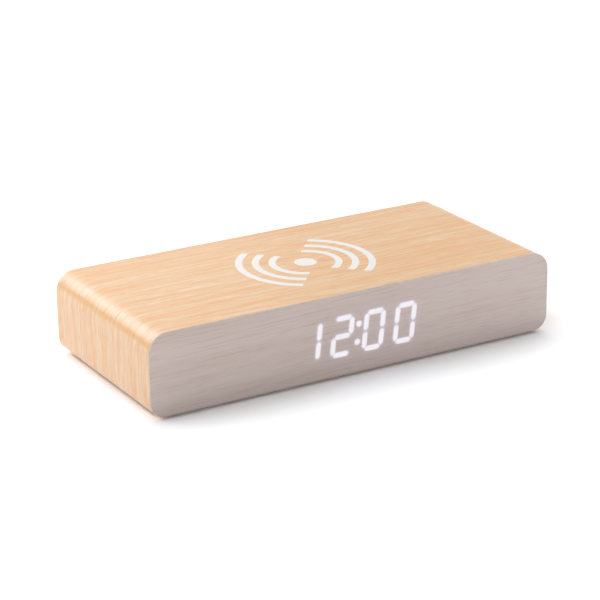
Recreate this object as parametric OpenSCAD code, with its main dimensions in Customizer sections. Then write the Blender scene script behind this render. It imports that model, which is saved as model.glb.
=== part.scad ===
// Wireless charging alarm clock.
// A bamboo-look sleeve on four feet. A lit time display stands behind the front face,
// a charging coil lies under the roof, and the rear cover has three buttons and a power socket.
// Millimetres. The front faces -Y and the top +Z. The origin is on the table under the middle.

/* [Body] */
// Width of the body from end to end
body_w = 150; // [135:1:180]
// Depth of the body from the front face to the rear face
body_d = 68; // [66:0.5:90]
// Height of the body above its feet
body_h = 27.8; // [27:0.1:36]
// Radius of the two upper long edges
corner_r = 6.6; // [5:0.1:9]
// Radius of the two lower long edges
base_corner_r = 5; // [4.5:0.1:9]
// Wall thickness of the sleeve
wall = 3; // [2.6:0.1:3.4]

/* [Front] */
// Thickness of the front veneer
veneer_t = 0.5; // [0.3:0.1:0.8]
// Thickness of the front panel behind the veneer
panel_t = 2.5; // [2:0.1:4]

/* [Display] */
// Digits of the time shown, left to right
shown_digits = [1, 2, 0, 0]; // [0:1:9]
// Height of a digit
numeral_h = 14; // [11:0.5:15]
// Width of a digit
numeral_w = 8.1; // [6.5:0.1:9]
// Distance from one digit to the next
numeral_pitch = 11.9; // [11.5:0.1:14]
// Width of a segment
segment_t = 1.75; // [1.2:0.05:2]
// Set-back of a segment's tip from the corner of its digit
segment_gap = 0.16; // [0.1:0.02:0.5]
// Lean of the digits to the right, in degrees
numeral_slant = 6.5; // [0:0.5:12]
// Diameter of a colon dot
colon_d = 2; // [1.2:0.1:2.4]
// Distance of each colon dot from the middle of the display
colon_rise = 3.05; // [2:0.05:4]
// Drop of the display below the middle of the body
display_drop = 0.35; // [0:0.05:1]
// Depth of the reflector block
housing_d = 4.5; // [3:0.1:5]
// Margin of the reflector block round the digits
housing_edge = 1.1; // [0.8:0.1:2]
// Margin of the display board beside the reflector block
display_board_edge = 4; // [3.5:0.1:8]
// Thickness of the display board
display_board_t = 1; // [0.8:0.1:1.6]
// Width of a light-emitting diode
led_w = 1; // [0.6:0.1:1.1]
// Height of a light-emitting diode
led_t = 0.6; // [0.4:0.1:1]
// Width of the display driver chip
driver_w = 10; // [6:0.5:12]
// Height of the display driver chip up the board
driver_h = 4; // [3:0.1:4.5]
// Thickness of the display driver chip
driver_t = 1.8; // [1:0.1:2.2]
// Width of the display ribbon
ribbon_w = 16; // [8:1:20]
// Thickness of the display ribbon
ribbon_t = 0.4; // [0.2:0.1:0.6]
// Length of the ribbon's flat end on the main board
ribbon_end = 4; // [3:0.5:5]
// Height of the ribbon's other end over the main board
ribbon_rise = 3; // [2:0.1:4]

/* [Charging] */
// Outer diameter of the charging coil
coil_outer_d = 44; // [40:0.5:46]
// Inner diameter of the charging coil
coil_inner_d = 20; // [18:0.5:22]
// Thickness of the charging coil
coil_t = 1.2; // [0.8:0.1:1.5]
// Turns of the charging coil
coil_turns = 7; // [5:1:7]
// Width of the coil's wire
wire_w = 1; // [0.6:0.05:1]
// Diameter of a coil lead
lead_d = 0.7; // [0.4:0.05:0.7]
// Distance between the two coil leads
lead_pitch = 3; // [2:0.1:4]
// Bend radius of a coil lead
lead_bend = 1.5; // [1:0.1:2.5]
// Ferrite beyond the coil all round
ferrite_edge = 0.5; // [0.3:0.1:1]
// Thickness of the ferrite shield
ferrite_t = 0.8; // [0.75:0.05:1.2]
// Thickness of the coil tray's floor and ears
tray_t = 1.5; // [1.2:0.1:2]
// Thickness of the coil tray's rim
tray_rim = 1; // [0.8:0.1:1.5]
// Diameter of the posts that carry the coil tray
post_d = 6; // [5:0.1:7]

/* [Mark] */
// Diameter of the dot in the middle of the mark
mark_dot_d = 7.6; // [5:0.1:9]
// Middle radius of the innermost arcs
mark_first_r = 11.1; // [9:0.1:12]
// Distance from one arc to the next
mark_step = 5.55; // [4:0.05:6]
// Arcs on each side of the dot
mark_arcs = 3; // [2:1:3]
// Width of an arc
mark_w = 2.4; // [1.5:0.1:3]
// Half the opening angle of the arcs, in degrees
mark_fan = 47.5; // [35:0.5:55]
// Distance of the fan's apex behind the dot
mark_apex = 4.6; // [2:0.1:5]
// Turn of the mark on the top, in degrees
mark_turn = 1.6; // [-5:0.1:5]
// Depth of the printed mark
mark_t = 0.2; // [0.1:0.05:0.4]
// Distance of the mark in front of the middle of the top
mark_forward = 0.8; // [0:0.1:4]

/* [Chassis] */
// Thickness of the chassis floor and sides
chassis_t = 2; // [1.6:0.1:2.2]
// Height of the chassis sides above its floor
chassis_side = 9; // [6:0.5:12]
// Depth of the blocks that take the rear screws
tower_d = 10; // [8.5:0.5:13]
// Diameter of the standoffs under the main board
standoff_d = 6; // [5:0.1:7]
// Diameter of the bosses over the feet
boss_d = 7; // [5.5:0.1:8]
// Height of the bosses over the feet
boss_h = 7; // [6.5:0.1:8]
// Wall of the slotted posts that hold the display board
slot_wall = 1.5; // [1.2:0.1:2]
// Reach of the slotted posts over the display board's edge
slot_depth = 1.5; // [1:0.1:2]
// Gap beside the reflector block in the chassis floor
window_spare = 1; // [0.5:0.1:2]

/* [Rear cover] */
// Thickness of the rear cover
cover_t = 2.5; // [2.2:0.1:3.5]
// Depth of the button recess
bay_depth = 1.2; // [0.8:0.1:1.3]
// Height of the button recess
bay_h = 11; // [9:0.5:13]
// Distance from one button to the next
button_pitch = 12; // [10:0.5:14]
// Diameter of a button
button_d = 6; // [5:0.1:7]
// Height of a button over the floor of its recess
button_proud = 0.9; // [0.7:0.1:1]
// Bevel round a button's face
button_bevel = 0.3; // [0.1:0.05:0.5]
// Width of the collar behind the rear cover
collar_edge = 1; // [0.6:0.1:1.2]
// Thickness of the collar
collar_t = 1; // [0.8:0.1:1.1]
// Diameter of a button's stem
stem_d = 3; // [2.4:0.1:4]
// Travel of a button
button_travel = 0.5; // [0.3:0.05:0.5]
// Diameter of a sound hole
sound_d = 1.2; // [0.8:0.1:1.5]
// Distance from one sound hole to the next
sound_pitch = 2.2; // [1.8:0.1:2.5]
// Size of the sign above each button
sign_w = 2.4; // [1.5:0.1:3]
// Depth of the signs in the cover
sign_depth = 0.2; // [0.1:0.05:0.4]
// Distance of the signs from the button recess
sign_gap = 1.2; // [0.8:0.1:1.5]
// Distance of the rear screws from the edges of the cover
rear_screw_edge = 5; // [4.5:0.1:6]

/* [Main board] */
// Width of the main board
board_w = 92; // [90:1:100]
// Thickness of the main board
board_t = 1.6; // [1:0.1:2]
// Distance of the main board from the rear cover
board_setback = 2.8; // [2.7:0.1:3.5]
// Distance of the board screws from the board's edges
board_screw_edge = 4; // [3.5:0.1:4.5]
// Width of a switch body
switch_w = 6; // [5:0.1:7]
// Depth of a switch body
switch_d = 3.6; // [3.2:0.1:4.5]
// Diameter of a switch plunger
plunger_d = 2; // [1.6:0.1:2.2]
// Plunger shown outside its switch body
plunger_out = 0.9; // [0.7:0.05:1]
// Plunger inside its switch body
plunger_in = 1.5; // [1:0.1:1.8]
// Distance of the power socket from the middle of the body
socket_x = 32; // [24:1:34]
// Width of the power socket
socket_w = 8.94; // [8.5:0.02:9.5]
// Height of the power socket
socket_h = 3.26; // [3.1:0.02:3.5]
// Depth of the power socket
socket_d = 7.3; // [6.5:0.1:8]
// Set-back of the socket's mouth from the rear face
socket_inset = 0.5; // [0.3:0.1:0.8]
// Thickness of the socket's closed end
socket_back = 1; // [0.6:0.1:1.5]
// Set-back of the tongue from the socket's mouth
tongue_inset = 0.8; // [0.5:0.1:1.2]
// Sheet thickness of the socket's shell
socket_sheet = 0.3; // [0.2:0.05:0.35]
// Thickness of the socket's tongue
tongue_t = 0.7; // [0.5:0.05:0.8]
// Diameter of the buzzer
buzzer_d = 12; // [9:0.5:12]
// Height of the buzzer
buzzer_h = 6.5; // [4:0.5:7]
// Diameter of the buzzer's sound hole
buzzer_hole_d = 2; // [1:0.1:3]
// Depth of the buzzer's sound hole
buzzer_hole_depth = 1; // [0.5:0.1:2]
// Diameter of the back-up cell
cell_d = 20; // [16:0.5:20]
// Thickness of the back-up cell
cell_t = 3.2; // [1.6:0.1:3.4]
// Wall of the cell holder
cell_wall = 1.2; // [1:0.1:1.5]
// Height of the cell over the main board
cell_rise = 1; // [0.6:0.1:1.4]
// Width of the cell clip
clip_w = 5; // [3:0.5:8]
// Sheet thickness of the cell clip
clip_t = 0.4; // [0.3:0.05:0.6]
// Width of the clock chip
clock_chip_w = 10; // [8:0.5:12]
// Depth of the clock chip
clock_chip_d = 7; // [5:0.5:8]
// Height of the clock chip
clock_chip_h = 2.2; // [1:0.1:3]
// Width and depth of the charging chips
charge_chip_w = 5; // [3:0.5:6]
// Height of the charging chips
charge_chip_h = 1.2; // [0.8:0.1:2]
// Width of a coil capacitor
capacitor_w = 5.7; // [4:0.1:7]
// Depth of a coil capacitor
capacitor_d = 3; // [2:0.1:3.2]
// Height of a coil capacitor
capacitor_h = 2.5; // [1.5:0.1:3]
// Distance from one coil capacitor to the next
capacitor_pitch = 4; // [3.8:0.1:4.2]
// Width and depth of the power inductor
inductor_w = 7; // [5:0.5:8]
// Height of the power inductor
inductor_h = 4; // [2:0.5:5]
// Distance between neighbouring parts on the main board
part_gap = 1; // [0.8:0.1:1.5]

/* [Screws] */
// Diameter of every screw
screw_d = 2.2; // [1.8:0.1:2.4]
// Diameter of every screw head
head_d = 4; // [3.6:0.1:4.4]
// Height of every screw head
head_h = 1.1; // [0.9:0.1:1.2]
// Length of the cross in a screw head
cross_l = 2.4; // [1.6:0.1:3]
// Width of the cross in a screw head
cross_w = 0.55; // [0.4:0.05:0.8]
// Depth of the cross in a screw head
cross_depth = 0.6; // [0.3:0.1:0.7]
// Length of screw held in plastic
screw_hold = 5; // [3.5:0.5:5.5]
// Spare depth of a pilot hole past its screw
pilot_spare = 0.3; // [0.2:0.1:0.5]

/* [Feet] */
// Height of the feet under the body
foot_h = 0.8; // [0.5:0.1:2]
// Diameter of a foot
foot_d = 11; // [9:0.5:13]
// Depth of the recess a foot sits in
foot_sink = 0.8; // [0.5:0.1:0.9]
// Bevel round the lower edge of a foot
foot_bevel = 0.3; // [0.1:0.05:0.5]
// Distance of the feet from the front and rear faces
foot_edge = 5; // [4:0.5:8]
// Distance of the feet from where the ends start to round
foot_side = 3.6; // [1:0.1:6]

/* [Fits] */
// Gap round the pieces inside the sleeve
slide_gap = 0.15; // [0.1:0.05:0.25]
// Gap round the segments in their windows
segment_fit = 0.03; // [0.02:0.01:0.06]
// Gap round the mark in its pockets
mark_fit = 0.03; // [0.02:0.01:0.06]
// Gap round a foot in its recess
foot_gap = 0.15; // [0.05:0.05:0.3]
// Gap round a screw in the piece it holds down
screw_pass = 0.2; // [0.1:0.05:0.3]
// Gap round a screw in the piece that grips it
screw_grip = 0.03; // [0.02:0.01:0.05]
// Gap round a screw head in its pocket
head_gap = 0.3; // [0.2:0.05:0.4]
// Gap round a button and its plunger
button_gap = 0.2; // [0.15:0.01:0.25]
// Gap between a button's collar and the rear cover
collar_gap = 0.05; // [0.03:0.01:0.1]
// Gap round the power socket in the rear cover
socket_gap = 0.3; // [0.2:0.05:0.4]
// Gap round the display board in its slots, and in front of its reflector block
display_gap = 0.1; // [0.05:0.01:0.2]
// Gap between the coil and the roof
coil_gap = 0.2; // [0.1:0.05:0.4]
// Gap round the coil leads and the ferrite shield in the tray
tray_gap = 0.2; // [0.15:0.05:0.3]
// Gap between the coil's rim and its outer lead
lead_gap = 0.05; // [0.03:0.01:0.1]
// Gap round the cell in its holder
cell_gap = 0.2; // [0.1:0.05:0.3]
// Gap between the main board and the posts that pass it
post_gap = 0.6; // [0.4:0.1:1]

/* [Hidden] */
$fn = 64;
cut = 1;
bite = 0.5;
inner_w = body_w - 2 * wall;
inner_h = body_h - 2 * wall;
body_z = foot_h + body_h / 2;
floor_z = foot_h + wall;
roof_z = foot_h + body_h - wall;
top_z = foot_h + body_h;
face_y = -body_d / 2;
rear_y = body_d / 2;
veneer_y = face_y + veneer_t;
panel_y = veneer_y + panel_t;
cover_y = rear_y - cover_t;

display_z = body_z - display_drop;
seg_x = numeral_w / 2 - segment_t / 2;
seg_z = numeral_h / 2 - segment_t / 2;
housing_w = 3 * numeral_pitch + numeral_w + numeral_h * tan(numeral_slant) + 2 * housing_edge;
housing_h = numeral_h + 2 * housing_edge;
housing_y = panel_y + display_gap;
display_board_y = housing_y + housing_d;
display_back_y = display_board_y + display_board_t;
display_board_w = housing_w + 2 * display_board_edge;
display_top = display_z + housing_h / 2;

tray_floor = floor_z + slide_gap + chassis_t;
coil_z = roof_z - coil_gap - coil_t;
ferrite_z = coil_z - ferrite_t;
tray_z = ferrite_z - tray_t;
ferrite_d = coil_outer_d + 2 * ferrite_edge;
tray_inner_d = ferrite_d + 2 * tray_gap;
tray_outer_d = tray_inner_d + 2 * tray_rim;
post_xy = (tray_outer_d / 2 + post_d / 2) / sqrt(2);
notch_w = lead_pitch + lead_d + 2 * tray_gap;
lead_x = tray_outer_d / 2 + 2 * lead_bend;

port_z = body_z;
board_z = port_z - socket_h / 2;
board_under = board_z - board_t;
board_rear = cover_y - board_setback;
board_front = post_gap + post_d / 2 - post_xy;
board_screw_x = board_w / 2 - board_screw_edge;
board_screw_ys = [board_front + board_screw_edge, board_rear - board_screw_edge];
cell_box = cell_d + 2 * cell_gap + 2 * cell_wall;
cell_x = -(board_screw_x - head_d / 2 - part_gap - cell_box / 2);
cell_y = board_front + cell_box / 2 + part_gap;
board_mid = (board_front + board_rear) / 2;
chip_x = (clock_chip_w + charge_chip_w) / 2 + 4 * part_gap;
capacitor_x = lead_x + lead_d / 2 + part_gap + capacitor_w / 2;
inductor_y = board_front + part_gap + inductor_w / 2;
buzzer_x = -socket_x;
buzzer_y = board_rear - buzzer_d / 2 - head_d - part_gap;

chassis_front = panel_y + slide_gap;
rear_screw_x = inner_w / 2 - rear_screw_edge;
rear_screw_z = inner_h / 2 - rear_screw_edge;
collar_d = button_d + 2 * collar_edge;
collar_y = cover_y - collar_gap;
button_face = rear_y - bay_depth + button_proud;
switch_y = board_rear;
plunger_y = switch_y + plunger_out;
foot_x = body_w / 2 - base_corner_r - foot_d / 2 - foot_side;
foot_y = body_d / 2 - foot_d / 2 - foot_edge;
foot_roof = foot_h + foot_sink;
head_roof = foot_roof + head_h;

// Segments in the order top, upper right, lower right, bottom, lower left, upper left, middle
SEGMENT_ENDS = [
  [[-seg_x, seg_z], [seg_x, seg_z]],
  [[seg_x, seg_z], [seg_x, 0]],
  [[seg_x, 0], [seg_x, -seg_z]],
  [[-seg_x, -seg_z], [seg_x, -seg_z]],
  [[-seg_x, 0], [-seg_x, -seg_z]],
  [[-seg_x, seg_z], [-seg_x, 0]],
  [[-seg_x, 0], [seg_x, 0]]
];
// Segments that each numeral lights
NUMERALS = [
  [0, 1, 2, 3, 4, 5],
  [1, 2],
  [0, 1, 6, 4, 3],
  [0, 1, 6, 2, 3],
  [5, 6, 1, 2],
  [0, 5, 6, 2, 3],
  [0, 5, 6, 2, 3, 4],
  [0, 1, 2],
  [0, 1, 2, 3, 4, 5, 6],
  [0, 1, 2, 3, 5, 6]
];

// Shared shapes

// Flat shape drawn in X and Z, given a thickness along Y
module along_y(y_from, y_to) {
  translate([0, y_to, 0])
    rotate([90, 0, 0])
      linear_extrude(y_to - y_from)
        children();
}

// Section of the body, drawn in all round by an inset
module outline(inset) {
  half_w = body_w / 2 - inset;
  half_h = body_h / 2 - inset;
  upper_r = corner_r - inset;
  lower_r = base_corner_r - inset;
  translate([0, body_z]) {
    translate([-half_w, lower_r - half_h])
      square([2 * half_w, 2 * half_h - lower_r - upper_r]);
    for (side = [[1, upper_r], [-1, lower_r]]) {
      r = side[1];
      translate([0, side[0] * half_h / 2])
        square([2 * (half_w - r), half_h], center = true);
      for (x = [-1, 1])
        translate([x * (half_w - r), side[0] * (half_h - r)])
          circle(r);
    }
  }
}

// Slot with round ends
module stadium(w, h) {
  square([w - h, h], center = true);
  for (x = [-1, 1])
    translate([x * (w - h) / 2, 0])
      circle(h / 2);
}

function lean(p) = [p[0] + tan(numeral_slant) * p[1], p[1]];

// Bar with pointed ends between two corners of a digit
function bar(p, q, grow) =
  let (
    u = (q - p) / norm(q - p),
    n = [-u[1], u[0]],
    t = segment_t / 2 + grow,
    a = p + u * (segment_gap - grow * sqrt(2)),
    b = q - u * (segment_gap - grow * sqrt(2))
  )
  [a, a + (u + n) * t, b + (n - u) * t, b, b - (u + n) * t, a + (u - n) * t];

function numeral_x(d) = (d - 1.5) * numeral_pitch;

function is_lit(d, s) = len([for (k = NUMERALS[shown_digits[d]]) if (k == s) k]) > 0;

module segment_shape(d, s, grow) {
  translate([numeral_x(d), display_z])
    polygon([for (p = bar(SEGMENT_ENDS[s][0], SEGMENT_ENDS[s][1], grow)) lean(p)]);
}

module colon_shape(grow) {
  for (z = [-colon_rise, colon_rise])
    translate([tan(numeral_slant) * z, display_z + z])
      circle(colon_d / 2 + grow);
}

module window_shapes(grow) {
  for (d = [0 : 3], s = [0 : 6])
    segment_shape(d, s, grow);
  colon_shape(grow);
}

// Dot with arcs fanning out to the left and right
module mark_shape(grow) {
  apex = -mark_apex - grow / sin(mark_fan);
  reach = mark_first_r + mark_arcs * mark_step;
  circle(mark_dot_d / 2 + grow);
  for (side = [0, 180])
    rotate(side + mark_turn)
      for (i = [0 : mark_arcs - 1])
        intersection() {
          difference() {
            circle(mark_first_r + i * mark_step + mark_w / 2 + grow);
            circle(mark_first_r + i * mark_step - mark_w / 2 - grow);
          }
          polygon([
            [apex, 0],
            [reach, (apex - reach) * tan(mark_fan)],
            [reach, (reach - apex) * tan(mark_fan)]
          ]);
        }
}

// Pan-head screw, head upward, with the head's underside at the origin
module screw(pass) {
  difference() {
    union() {
      cylinder(d = head_d, h = head_h);
      translate([0, 0, -pass - screw_hold])
        cylinder(d = screw_d, h = pass + screw_hold);
    }
    for (turn = [0, 90])
      rotate(turn)
        translate([-cross_l / 2, -cross_w / 2, head_h - cross_depth])
          cube([cross_l, cross_w, cross_depth + cut]);
  }
}

module at_feet() {
  for (x = [-foot_x, foot_x], y = [-foot_y, foot_y])
    translate([x, y, 0])
      children();
}

module at_posts() {
  for (x = [-post_xy, post_xy], y = [-post_xy, post_xy])
    translate([x, y, 0])
      children();
}

module at_board_screws() {
  for (x = [-board_screw_x, board_screw_x], y = board_screw_ys)
    translate([x, y, 0])
      children();
}

module at_rear_screws() {
  for (x = [-rear_screw_x, rear_screw_x], z = [-rear_screw_z, rear_screw_z])
    translate([x, 0, body_z + z])
      rotate([-90, 0, 0])
        children();
}

// Case

module wood_sleeve() {
  color([0.93, 0.8, 0.65])
    difference() {
      along_y(veneer_y, rear_y)
        difference() {
          outline(0);
          outline(wall);
        }
      at_feet() {
        cylinder(d = foot_d + 2 * foot_gap, h = foot_roof);
        cylinder(d = head_d + 2 * head_gap, h = head_roof);
        cylinder(d = screw_d + 2 * screw_pass, h = floor_z + cut);
      }
      translate([0, -mark_forward, top_z - mark_t])
        linear_extrude(mark_t + cut)
          mark_shape(mark_fit);
    }
}

module front_veneer() {
  color([0.75, 0.69, 0.66])
    along_y(face_y, veneer_y)
      difference() {
        outline(0);
        window_shapes(segment_fit);
      }
}

module front_panel() {
  color([0.1, 0.1, 0.11])
    along_y(veneer_y, panel_y)
      difference() {
        outline(wall + slide_gap);
        window_shapes(segment_fit);
      }
}

module charge_mark() {
  color([0.96, 0.96, 0.95])
    translate([0, -mark_forward, top_z - mark_t])
      linear_extrude(mark_t)
        mark_shape(0);
}

module rubber_feet() {
  color([0.12, 0.12, 0.12])
    at_feet()
      rotate_extrude()
        polygon([
          [0, 0],
          [foot_d / 2 - foot_bevel, 0],
          [foot_d / 2, foot_bevel],
          [foot_d / 2, foot_roof],
          [0, foot_roof]
        ]);
}

module base_screws() {
  color([0.6, 0.6, 0.62])
    at_feet()
      translate([0, 0, head_roof])
        mirror([0, 0, 1])
          screw(floor_z + slide_gap - head_roof);
}

// Display

module lit_segments() {
  color([1, 1, 1])
    for (d = [0 : 3], s = [0 : 6])
      if (is_lit(d, s))
        along_y(face_y, panel_y)
          segment_shape(d, s, 0);
}

module dark_segments() {
  color([0.74, 0.68, 0.65])
    for (d = [0 : 3], s = [0 : 6])
      if (!is_lit(d, s))
        along_y(face_y, panel_y)
          segment_shape(d, s, 0);
}

module colon_dots() {
  color([1, 1, 1])
    along_y(face_y, panel_y)
      colon_shape(0);
}

module display_housing() {
  color([0.92, 0.92, 0.9])
    along_y(housing_y, display_board_y)
      difference() {
        translate([0, display_z])
          square([housing_w, housing_h], center = true);
        window_shapes(0);
      }
}

module segment_leds() {
  color([0.95, 0.9, 0.6]) {
    for (d = [0 : 3], s = [0 : 6])
      along_y(display_board_y - led_t, display_board_y)
        translate([numeral_x(d), display_z] + lean((SEGMENT_ENDS[s][0] + SEGMENT_ENDS[s][1]) / 2))
          square(led_w, center = true);
    for (z = [-colon_rise, colon_rise])
      along_y(display_board_y - led_t, display_board_y)
        translate([tan(numeral_slant) * z, display_z + z])
          square(led_w, center = true);
  }
}

module display_board() {
  color([0.1, 0.35, 0.2])
    translate([-display_board_w / 2, display_board_y, tray_floor])
      cube([display_board_w, display_board_t, display_top - tray_floor]);
}

module display_driver() {
  color([0.08, 0.08, 0.08])
    translate([-driver_w / 2, display_back_y, tray_floor + part_gap])
      cube([driver_w, driver_t, driver_h]);
}

// Flat ribbon that steps from the display board down onto the main board
module display_ribbon() {
  start_z = board_z + ribbon_rise;
  mid_y = (display_back_y + board_front) / 2;
  color([0.85, 0.85, 0.8])
    translate([-ribbon_w / 2, 0, 0])
      rotate([90, 0, 90])
        linear_extrude(ribbon_w)
          polygon([
            [display_back_y, start_z],
            [mid_y, start_z],
            [board_front, board_z],
            [board_front + ribbon_end, board_z],
            [board_front + ribbon_end, board_z + ribbon_t],
            [board_front + ribbon_t / 2, board_z + ribbon_t],
            [mid_y + ribbon_t / 2, start_z + ribbon_t],
            [display_back_y, start_z + ribbon_t]
          ]);
}

// Chassis

module chassis() {
  side_w = inner_w - 2 * slide_gap - 2 * chassis_t;
  slot_x = display_board_w / 2 + (slot_wall - slot_depth) / 2;
  color([0.3, 0.3, 0.32])
    difference() {
      union() {
        along_y(chassis_front, cover_y)
          difference() {
            outline(wall + slide_gap);
            translate([-side_w / 2, tray_floor])
              square([side_w, body_h]);
            translate([-body_w / 2, tray_floor + chassis_side])
              square([body_w, body_h]);
          }
        along_y(cover_y - tower_d, cover_y)
          intersection() {
            outline(wall + slide_gap);
            for (side = [-1, 1])
              translate([side * rear_screw_x, body_z])
                square([2 * rear_screw_edge, body_h], center = true);
          }
        for (side = [-1, 1])
          translate([
            side * slot_x - (slot_depth + slot_wall) / 2,
            display_board_y - slot_wall,
            tray_floor - bite
          ])
            cube([
              slot_depth + slot_wall,
              display_board_t + 2 * slot_wall,
              display_top - tray_floor + bite
            ]);
        at_feet()
          translate([0, 0, floor_z + slide_gap])
            cylinder(d = boss_d, h = boss_h);
        at_posts()
          translate([0, 0, tray_floor - bite])
            cylinder(d = post_d, h = tray_z - tray_floor + bite);
        at_board_screws()
          translate([0, 0, tray_floor - bite])
            cylinder(d = standoff_d, h = board_under - tray_floor + bite);
      }
      translate([
        -display_board_w / 2 - display_gap,
        display_board_y - display_gap,
        tray_floor
      ])
        cube([
          display_board_w + 2 * display_gap,
          display_board_t + 2 * display_gap,
          body_h
        ]);
      translate([-housing_w / 2 - window_spare, chassis_front - cut, 0])
        cube([
          housing_w + 2 * window_spare,
          display_board_y - display_gap - chassis_front + cut,
          body_z
        ]);
      at_feet()
        cylinder(d = screw_d + 2 * screw_grip, h = floor_z + slide_gap + screw_hold + pilot_spare);
      at_posts()
        translate([0, 0, tray_z - screw_hold - pilot_spare])
          cylinder(d = screw_d + 2 * screw_grip, h = screw_hold + cut);
      at_board_screws()
        translate([0, 0, board_under - screw_hold - pilot_spare])
          cylinder(d = screw_d + 2 * screw_grip, h = screw_hold + cut);
      translate([0, cover_y - screw_hold - pilot_spare, 0])
        at_rear_screws()
          cylinder(d = screw_d + 2 * screw_grip, h = screw_hold + cut);
    }
}

// Charging

module coil_tray() {
  color([0.85, 0.85, 0.83])
    difference() {
      union() {
        translate([0, 0, tray_z])
          cylinder(d = tray_outer_d, h = tray_t + ferrite_t + coil_t);
        for (turn = [45 : 90 : 315])
          rotate(turn)
            translate([0, -post_d / 2, tray_z])
              cube([post_xy * sqrt(2) + post_d / 2, post_d, tray_t]);
      }
      translate([0, 0, ferrite_z])
        cylinder(d = tray_inner_d, h = roof_z);
      translate([0, -notch_w / 2, ferrite_z])
        cube([tray_outer_d, notch_w, roof_z]);
      at_posts()
        translate([0, 0, tray_z - cut])
          cylinder(d = screw_d + 2 * screw_pass, h = roof_z);
    }
}

module tray_screws() {
  color([0.6, 0.6, 0.62])
    at_posts()
      translate([0, 0, ferrite_z])
        screw(tray_t);
}

module ferrite_shield() {
  color([0.2, 0.19, 0.19])
    difference() {
      translate([0, 0, ferrite_z])
        cylinder(d = ferrite_d, h = ferrite_t);
      translate([coil_inner_d / 2 - tray_gap, -lead_pitch / 2 - lead_d / 2 - tray_gap, ferrite_z - cut])
        cube([coil_outer_d, lead_d + 2 * tray_gap, ferrite_t + 2 * cut]);
    }
}

// Flat spiral winding
module charging_coil() {
  steps = 30;
  turns = 360 * coil_turns;
  first_r = coil_inner_d / 2 + wire_w / 2;
  rise = coil_outer_d / 2 - wire_w / 2 - first_r;
  outer_edge = [
    for (a = [0 : 360 / steps : turns])
      (first_r + rise * a / turns + wire_w / 2) * [cos(a), sin(a)]
  ];
  inner_edge = [
    for (a = [turns : -360 / steps : 0])
      (first_r + rise * a / turns - wire_w / 2) * [cos(a), sin(a)]
  ];
  color([0.72, 0.42, 0.22])
    translate([0, 0, coil_z])
      linear_extrude(coil_t)
        polygon(concat(outer_edge, inner_edge));
}

module coil_lead(start_x, y, z) {
  translate([start_x, y, z])
    rotate([0, 90, 0])
      cylinder(d = lead_d, h = lead_x - lead_bend - start_x);
  translate([lead_x - lead_bend, y, z - lead_bend])
    rotate([90, 0, 0])
      rotate_extrude(angle = 90)
        translate([lead_bend, 0])
          circle(d = lead_d);
  translate([lead_x, y, board_z])
    cylinder(d = lead_d, h = z - lead_bend - board_z);
}

module coil_leads() {
  color([0.72, 0.42, 0.22]) {
    coil_lead(coil_outer_d / 2 + lead_gap, lead_pitch / 2, coil_z + coil_t / 2);
    coil_lead(coil_inner_d / 2, -lead_pitch / 2, ferrite_z + ferrite_t / 2);
  }
}

// Main board

module main_board() {
  color([0.1, 0.35, 0.2])
    difference() {
      translate([-board_w / 2, board_front, board_under])
        cube([board_w, board_rear - board_front, board_t]);
      at_posts()
        cylinder(d = post_d + 2 * post_gap, h = top_z);
      at_board_screws()
        cylinder(d = screw_d + 2 * screw_pass, h = top_z);
    }
}

module board_screws() {
  color([0.6, 0.6, 0.62])
    at_board_screws()
      translate([0, 0, board_z])
        screw(board_t);
}

module board_block(x, y, w, d, h) {
  translate([x - w / 2, y - d / 2, board_z])
    cube([w, d, h]);
}

module board_chips() {
  color([0.08, 0.08, 0.08]) {
    board_block(0, board_mid, clock_chip_w, clock_chip_d, clock_chip_h);
    for (y = [-1, 1])
      board_block(chip_x, board_mid + y * charge_chip_w, charge_chip_w, charge_chip_w, charge_chip_h);
    board_block(socket_x, board_mid + 2 * charge_chip_w, charge_chip_w, charge_chip_w, charge_chip_h);
  }
}

module coil_capacitors() {
  color([0.75, 0.6, 0.35])
    for (i = [-1.5 : 1.5])
      board_block(capacitor_x, i * capacitor_pitch, capacitor_w, capacitor_d, capacitor_h);
}

module power_inductor() {
  color([0.25, 0.25, 0.27])
    board_block(lead_x - inductor_w / 2, inductor_y, inductor_w, inductor_w, inductor_h);
}

module cell_holder() {
  color([0.12, 0.12, 0.13])
    difference() {
      board_block(cell_x, cell_y, cell_box, cell_box, cell_rise + cell_t);
      translate([cell_x, cell_y, board_z + cell_rise])
        cylinder(d = cell_d + 2 * cell_gap, h = cell_t + cut);
    }
}

module backup_cell() {
  color([0.8, 0.8, 0.82])
    translate([cell_x, cell_y, board_z + cell_rise])
      cylinder(d = cell_d, h = cell_t);
}

module cell_clip() {
  color([0.7, 0.7, 0.72])
    translate([cell_x - cell_box / 2, cell_y - clip_w / 2, board_z + cell_rise + cell_t])
      cube([cell_box, clip_w, clip_t]);
}

module buzzer() {
  color([0.1, 0.1, 0.1])
    difference() {
      translate([buzzer_x, buzzer_y, board_z])
        cylinder(d = buzzer_d, h = buzzer_h);
      translate([buzzer_x, buzzer_y, board_z + buzzer_h - buzzer_hole_depth])
        cylinder(d = buzzer_hole_d, h = buzzer_hole_depth + cut);
    }
}

module socket_shell() {
  mouth = rear_y - socket_inset;
  color([0.75, 0.75, 0.77])
    difference() {
      along_y(mouth - socket_d, mouth)
        translate([socket_x, port_z])
          stadium(socket_w, socket_h);
      along_y(mouth - socket_d + socket_back, mouth + cut)
        translate([socket_x, port_z])
          stadium(socket_w - 2 * socket_sheet, socket_h - 2 * socket_sheet);
    }
}

module socket_tongue() {
  mouth = rear_y - socket_inset;
  color([0.08, 0.08, 0.08])
    along_y(mouth - socket_d + socket_back, mouth - tongue_inset)
      translate([socket_x, port_z])
        square([socket_w - socket_h + tongue_t, tongue_t], center = true);
}

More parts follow.
